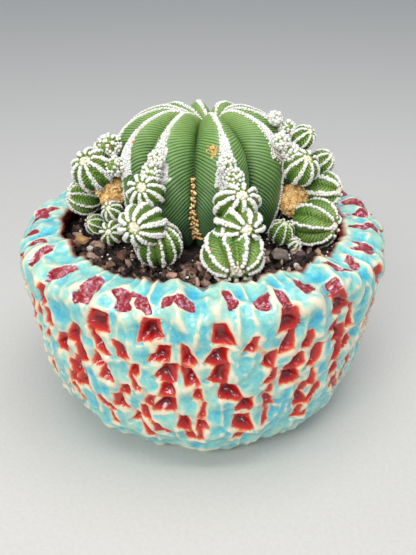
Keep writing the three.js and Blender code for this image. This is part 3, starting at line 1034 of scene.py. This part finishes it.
def young_plant(node, towards, slope, squeeze, ribs, seed, woolly):
    """The skin and the wool of one offset or bud."""
    matrix, radius = young_place(node, towards, slope, squeeze)
    small = radius < SMALL_RADIUS * MM
    per_rib = SMALL_ACROSS if small else YOUNG_ACROSS
    rows = YOUNG_ROWS // 2 if small else YOUNG_ROWS
    body, column, row = round_body(ribs * per_rib, rows)
    rib = column / per_rib
    distance = row / rows
    around, up = young_surface(rib, distance)
    turn = rib / ribs * 2 * math.pi
    points = np.stack([around * np.cos(turn), around * np.sin(turn), up], axis=-1)
    write_points(body, placed(points, matrix))
    points = read_points(body)
    share = np.abs(2 * (rib % 1) - 1)
    fold_size = max(YOUNG_FOLD * MM / radius, 0.1)
    fold = (distance * young_along[-1] - 0.32 * share) / fold_size + 0.3 * lumps(points, 3 * MM, seed)
    ridge = np.abs(np.sin(math.pi * fold)) ** 0.7
    strength = 0.7 * min(1, radius / (9 * MM))
    move = strength * (ridge - 0.6) + 0.3 * lumps(points, 5 * MM, seed + 3) * radius / (9 * MM)
    points += read_normals(body) * (move * MM)[:, None]
    write_points(body, points)
    # The ridge number picks the painted light: high on fold ridges (painted highlight), low in the folds
    # (painted shade).
    paint(body, "ridge", ridge)
    paint(body, "down", distance)
    paint(body, "share", share)
    settle(body, node + "_skin", young_skin, node)

    dice = np.random.default_rng(seed)
    bead = max(0.078 * radius, 0.45 * MM)
    pitch = BEAD_PITCH * bead / radius / young_along[-1]
    if woolly:
        turns = np.arange(WOOLLY_TUFTS)
        beads = np.c_[turns * 0.618 % 1 * ribs, 0.04 + 0.8 * np.sqrt(turns / WOOLLY_TUFTS)]
        beads += dice.normal(size=beads.shape) * (0.12, 0.015)
        beads = beads[dice.random(WOOLLY_TUFTS) > 0.1]
    else:
        beads = np.array([(number, at) for number in range(ribs) for at in np.arange(0.14, 0.86, pitch)])
        if not node.endswith(("base", "low", "bead", "foot", "pearl")):
            # The higher plants have a band two beads wide.
            side = 0.5 * bead / radius * ribs / WAIST
            beads = np.vstack([beads - (side, 0), beads + (side, pitch / 2)])
        beads = beads + dice.normal(size=beads.shape) * (0.03, 0.004)
    sizes = bead * dice.uniform(0.85, 1.2, len(beads)) * (1 - 0.35 * smooth_step(beads[:, 1], 0.6, 0.86))
    sizes *= WOOLLY_SIZE if woolly else 1
    cream = dice.uniform(0, 0.3, len(beads))
    around, up = young_surface(beads[:, 0], beads[:, 1])
    turn = beads[:, 0] / ribs * 2 * math.pi
    spots = np.stack([around * np.cos(turn), around * np.sin(turn), up], axis=-1) * (1 + 0.35 * bead / radius)
    cushion = dice.normal(size=(8 if woolly else 90, 3)) * (0.17, 0.17, 0.04)
    cushion[:, 2] += 0.86 - 2 * (cushion[:, :2] ** 2).sum(axis=1)
    spots = placed(np.vstack([spots, cushion]), matrix)
    sizes = np.append(sizes, dice.uniform(0.06, 0.1, len(cushion)) * radius)
    cream = np.append(cream, dice.uniform(0.3, 0.6, len(cushion)))
    over_floor = spots[:, 2] > soil_top
    piece = scatter(node + "_wool", spots[over_floor], sizes[over_floor], dice, tone=cream[over_floor])
    settle(piece, node + "_wool", wool)
    return len(spots)


# %% Grow them
# The first stops are the skin lit on its fold ridges (painted highlight), the second the same skin in painted
# shade for its folds.
young_skin = skin_material(
    "young_cactus_cuticle",
    lit_ridge_stops=[(0, "#9db457"), (1, "#54803f"), (0.4, "#7fa148"), (0.7, "#668f40")],
    shaded_fold_stops=[(0, "#3f5f1a"), (1, "#0f2c10"), (0.4, "#284c14"), (0.7, "#1b3d12")],
    fold_shade_range=(0.35, 1.0),
    spots=0.68,
)
tufts = 0
for number, (node, (towards, slope, squeeze, ribs)) in enumerate(OFFSETS.items()):
    tufts += young_plant(node, towards, slope, squeeze, ribs, 100 + number, False)
for number, (node, (towards, slope)) in enumerate(BUDS.items()):
    tufts += young_plant(node, towards, slope, 1, BUD_RIBS, 200 + number, True)
print(len(OFFSETS), "offsets and", len(BUDS), "buds with", tufts, "tufts")

# %% [markdown]
# ## Cork
#
# Old growth turns to cork: a golden tan, dead, flaky skin. Two blunt bases of lost offsets are covered
# with it, and a ladder of scales lies in the front groove. The bases are uneven lumps with flakes laid
# all over them, and the ladder is a pile of flattened flakes that follows the groove.

# %% The cork material
cork, tree, shader = new_material("flaking_cork")
coordinates = add(tree, "TexCoord").outputs["Object"]
tone = add(tree, "Attribute", attribute_name="tone").outputs["Fac"]
grit = add(tree, "TexNoise", {"Vector": coordinates, "Scale": 480, "Detail": 4}).outputs["Fac"]
mix = add(tree, "Math", {0: grit, 1: 0.9, 2: tone}, operation="MULTIPLY_ADD").outputs[0]
cork_colour = add(
    tree,
    "ValToRGB",
    {"Fac": mix},
    stops=[(0.2, "#8f5a2c"), (0.95, "#fff0c8"), (0.4, "#dfab64"), (0.62, "#f6d494")],
).outputs["Color"]
crumble = add(tree, "Bump", {"Strength": 0.6, "Distance": 0.0004, "Height": grit})
tree.links.new(cork_colour, shader.inputs["Base Color"])
tree.links.new(crumble.outputs["Normal"], shader.inputs["Normal"])
shader.inputs["Roughness"].default_value = 0.9

# %% Corky bases
for number, node in enumerate(("cork_left", "cork_right")):
    low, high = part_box(node)
    middle = np.array((low + high) / 2)
    half = np.array(high - low) / 2 * (1.0, 1.0, 1.12)
    deselect()
    bpy.ops.mesh.primitive_ico_sphere_add(subdivisions=5, radius=1)
    base = bpy.context.object
    points = read_points(base)
    bulge = 1 + 0.16 * lumps(points, 0.55, 31 + number) + 0.06 * lumps(points, 0.2, 33 + number)
    points = middle + points * bulge[:, None] * half
    write_points(base, points)
    paint(base, "tone", 0.05 + 0.25 * lumps(points, 2 * MM, 35))
    settle(base, node + "_base", cork, node)
    dice = np.random.default_rng(40 + number)
    chosen = dice.choice(len(points), 420, replace=False)
    flakes = points[chosen] + read_normals(base)[chosen] * (0.25 * MM)
    sizes = dice.uniform(0.45, 1.0, len(flakes)) * MM
    tone = dice.uniform(-0.1, 0.35, len(flakes))
    piece = scatter(node + "_flakes", flakes, sizes, dice, 0.2, 0.45, tone)
    settle(piece, node + "_flakes", cork)
    print(node, len(flakes), "flakes")

# %% Cork ladder in the front groove
FRONT_GROOVE = 7.51  # crests counted from the first one
GROOVE_PITCH = 27  # mm from crest to crest there
rungs = np.arange(232, 322, 8.2)  # levels, from the first rung to the mix
dice = np.random.default_rng(51)
ladder, tone = [], []
for number, level in enumerate(rungs):
    low_down = number / len(rungs)
    half = 0.9 + 2.4 * low_down
    middle = FRONT_GROOVE + 0.045 * low_down**2 + dice.normal() * 0.009
    tilt = dice.uniform(-0.9, 0.9)
    for across in np.arange(-half, half + 0.1, 0.62):
        for layer in (0, 1):
            at = level + layer * 2.4 + 0.5 * abs(across) + tilt * across + dice.normal() * 0.4
            aside = (across + dice.normal() * 0.15) / GROOVE_PITCH
            ladder.append((middle + aside, at, 1.25 - 0.35 * layer + 0.35 * low_down))
            tone.append(dice.uniform(0.1, 0.4) - 0.4 * layer - 0.25 * low_down**2)
ladder = np.array(ladder)
lifted = stem_normal(ladder[:, 0], ladder[:, 1]) * ladder[:, 2:] * MM
spots = stem_surface(ladder[:, 0], ladder[:, 1]) + lifted
piece = scatter("groove_cork", spots, dice.uniform(0.6, 0.85, len(spots)) * MM, dice, 0.15, 0.7, tone)
settle(piece, "groove_cork", cork)
# Small scabs elsewhere: crests counted from the first one, level, how far they spread, and how many.
SCABS = [
    (7.83, 187, 0.045, 4.5, 55),
    (6.1, 185, 0.03, 3, 10),
    (8.92, 205, 0.03, 6, 18),
    (9.2, 172, 0.03, 5, 14),
]
scabs = np.vstack(
    [
        np.c_[rib + dice.normal(size=count) * wide, level + dice.normal(size=count) * tall]
        for rib, level, wide, tall, count in SCABS
    ]
)
spots = stem_surface(scabs[:, 0], scabs[:, 1]) + stem_normal(scabs[:, 0], scabs[:, 1]) * (0.15 * MM)
piece = scatter("stem_scabs", spots, dice.uniform(0.35, 0.7, len(spots)) * MM, dice, 0.2, 0.5, -0.05)
settle(piece, "stem_scabs", cork)
print("ladder", len(ladder), "scales, scabs", len(scabs))

# %% [markdown]
# ## Potting mix
#
# Cactus mix is composted bark and grit, opened up with white perlite. The bed is one lumpy solid that
# fills the pot, with crumbs, bark shreds and perlite scattered over it. The bed is a sphere once more,
# its upper half spread flat as a disc and its lower half pushed down to the pot's floor.

# %% The soil materials


def earth_material(name, stops, grit_scale):
    """Dull ground matter, coloured by grit noise and by each crumb's own tone."""
    earth, tree, shader = new_material(name)
    coordinates = add(tree, "TexCoord").outputs["Object"]
    tone = add(tree, "Attribute", attribute_name="tone").outputs["Fac"]
    grit = add(tree, "TexNoise", {"Vector": coordinates, "Scale": grit_scale, "Detail": 5}).outputs["Fac"]
    mix = add(tree, "Math", {0: grit, 1: 0.8, 2: tone}, operation="MULTIPLY_ADD").outputs[0]
    colour = add(tree, "ValToRGB", {"Fac": mix}, stops=stops).outputs["Color"]
    bumps = add(tree, "Bump", {"Strength": 0.7, "Distance": 0.0005, "Height": grit})
    tree.links.new(colour, shader.inputs["Base Color"])
    tree.links.new(bumps.outputs["Normal"], shader.inputs["Normal"])
    shader.inputs["Roughness"].default_value = 0.92
    return earth


compost = earth_material(
    "composted_bark", [(0.2, "#120d0b"), (0.95, "#b39684"), (0.45, "#271c18"), (0.68, "#5d453a")], 420
)
perlite = earth_material("expanded_perlite", [(0.2, "#b9b4aa"), (0.6, "#f1efea")], 600)

# %% The bed of mix
BED_RADIUS = 71.5
BED_ACROSS = 220
BED_ROWS = 120
TOP_ROWS = 100  # of them on the upper side
bed, column, row = round_body(BED_ACROSS, BED_ROWS)
points = read_points(bed)
spread = np.clip(row / TOP_ROWS, 0, 1) * BED_RADIUS
under = np.clip((row - TOP_ROWS) / (BED_ROWS - TOP_ROWS), 0, 1)
turn = column / BED_ACROSS * 2 * math.pi
spread = np.where(under > 0, np.interp(under, [0, 0.3, 0.8, 1], [BED_RADIUS, 72, 50, 0]), spread)
height = np.interp(under, [0, 0.3, 0.8, 1], [soil_top / MM - 0.8, 70, POT_FLOOR + 1.5, POT_FLOOR + 0.5])
points = np.c_[spread * np.cos(turn), spread * np.sin(turn), height] * MM
rough = 1.1 * lumps(points, 7 * MM, 41) + 0.8 * lumps(points, 3 * MM, 42) + 0.4 * lumps(points, 1.5 * MM, 43)
points[:, 2] += np.where(under == 0, rough, 0) * MM
write_points(bed, points)
paint(bed, "tone", -0.05 + 0.12 * rough)
settle(bed, "soil_bed", compost, "soil")
print("bed", len(bed.data.polygons), "faces")


# %% Crumbs, shreds and perlite
def ground_places(count, dice, lift):
    """Random places on the mix, clear of the stem."""
    turn = dice.uniform(0, 2 * math.pi, count * 3)
    out = np.sqrt(dice.uniform(0.15, 1, count * 3)) * (BED_RADIUS - 2.5)
    spots = np.c_[out * np.cos(turn), out * np.sin(turn), np.full(count * 3, soil_top / MM + lift)]
    clear = np.hypot(spots[:, 0], spots[:, 1] - STEM_SET_BACK) > 35
    return spots[clear][:count] * MM


dice = np.random.default_rng(61)
for name, count, low, high, flat, finish, tone in (
    ("soil_crumbs", 1500, 0.5, 1.5, 0.8, compost, (-0.2, 0.25)),
    ("soil_bark_shreds", 240, 1.4, 3.0, 0.35, compost, (0.0, 0.45)),
    ("soil_chips", 110, 2.0, 3.4, 0.45, compost, (0.25, 0.6)),
    ("soil_perlite", 150, 0.3, 0.85, 0.9, perlite, (0, 0.3)),
):
    spots = ground_places(count, dice, 0.2 if "perlite" not in name else 0.9)
    sizes = dice.uniform(low, high, len(spots)) * MM
    piece = scatter(name, spots, sizes, dice, 0.25, flat, dice.uniform(*tone, len(spots)))
    settle(piece, name, finish)
    print(name, len(spots))

# %% [markdown]
# ## Loose stones and bark chips
#
# Pebbles are worn smooth but never round, and rocks and bark chips are broken slabs. Each one is a cube,
# cut finer, rounded a little or a lot, turned at random and made uneven by noise. Random planes then
# shave flats on it. Each fills the box of its CAD node.

# %% Stones and chips
STONE_COLOURS = {
    "tan": ("#8a6238", "#d9b07c"),
    "rose": ("#8f6a5c", "#d3a895"),
    "white": ("#b3aaa0", "#eee8e0"),
    "bark": ("#33221b", "#8a5f4a"),
    "brown": ("#5c4434", "#a37f63"),
    "grey": ("#5a4f49", "#a0938a"),
    "plum": ("#3c2c31", "#7d6266"),
    "pink": ("#b08a7c", "#ecccc0"),
    "chalk": ("#b5b0a8", "#f0ede6"),
}
STONES = [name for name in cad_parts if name.startswith(("pebble_", "chip_"))]
STONE_PLANES = 14
stone_finish = {}
for kind, (dark, light) in STONE_COLOURS.items():
    name = "torn_pine_bark" if kind == "bark" else kind + "_stone"
    stone_finish[kind] = earth_material(name, [(0.25, dark), (0.75, light)], 350)
for number, node in enumerate(sorted(STONES)):
    kind = node.split("_")[1]
    low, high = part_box(node)
    middle = np.array((low + high) / 2)
    half = np.array(high - low) / 2
    deselect()
    bpy.ops.mesh.primitive_cube_add(size=2)
    stone = bpy.context.object
    bpy.ops.object.mode_set(mode="EDIT")
    bpy.ops.mesh.select_all(action="SELECT")
    bpy.ops.mesh.subdivide(number_cuts=15)
    bpy.ops.object.mode_set(mode="OBJECT")
    cube = read_points(stone)
    ball = cube / np.linalg.norm(cube, axis=1)[:, None]
    rock = kind in ("bark", "grey", "plum", "brown")
    square = 0.8 if rock else 0.15
    points = ball * (1 - square) + cube * square
    points = points @ turned_randomly(1, np.random.default_rng(160 + number))[0]
    shift = 0.22 if rock else 0.12
    uneven = 1 + shift * lumps(ball, 0.9, 70 + number) + 0.07 * lumps(ball, 0.3, 90 + number)
    points = points * uneven[:, None]
    facet = np.zeros(len(points))
    planes = turned_randomly(STONE_PLANES, np.random.default_rng(120 + number))[:, 0]
    plane_out = 0.88 if rock else 0.8
    for turn, side in enumerate(planes):
        beyond = np.maximum(points @ side - plane_out, 0)
        points = points - 0.95 * beyond[:, None] * side
        facet = np.where(beyond > 0, turn % 3 - 1, facet)
    points = points / np.abs(points).max(axis=0)
    write_points(stone, middle + points * half)
    paint(stone, "tone", 0.15 * lumps(ball, 0.6, 95) + 0.08 * facet * rock)
    settle(stone, node + "_stone", stone_finish[kind], node)
print(len(STONES), "stones and chips")
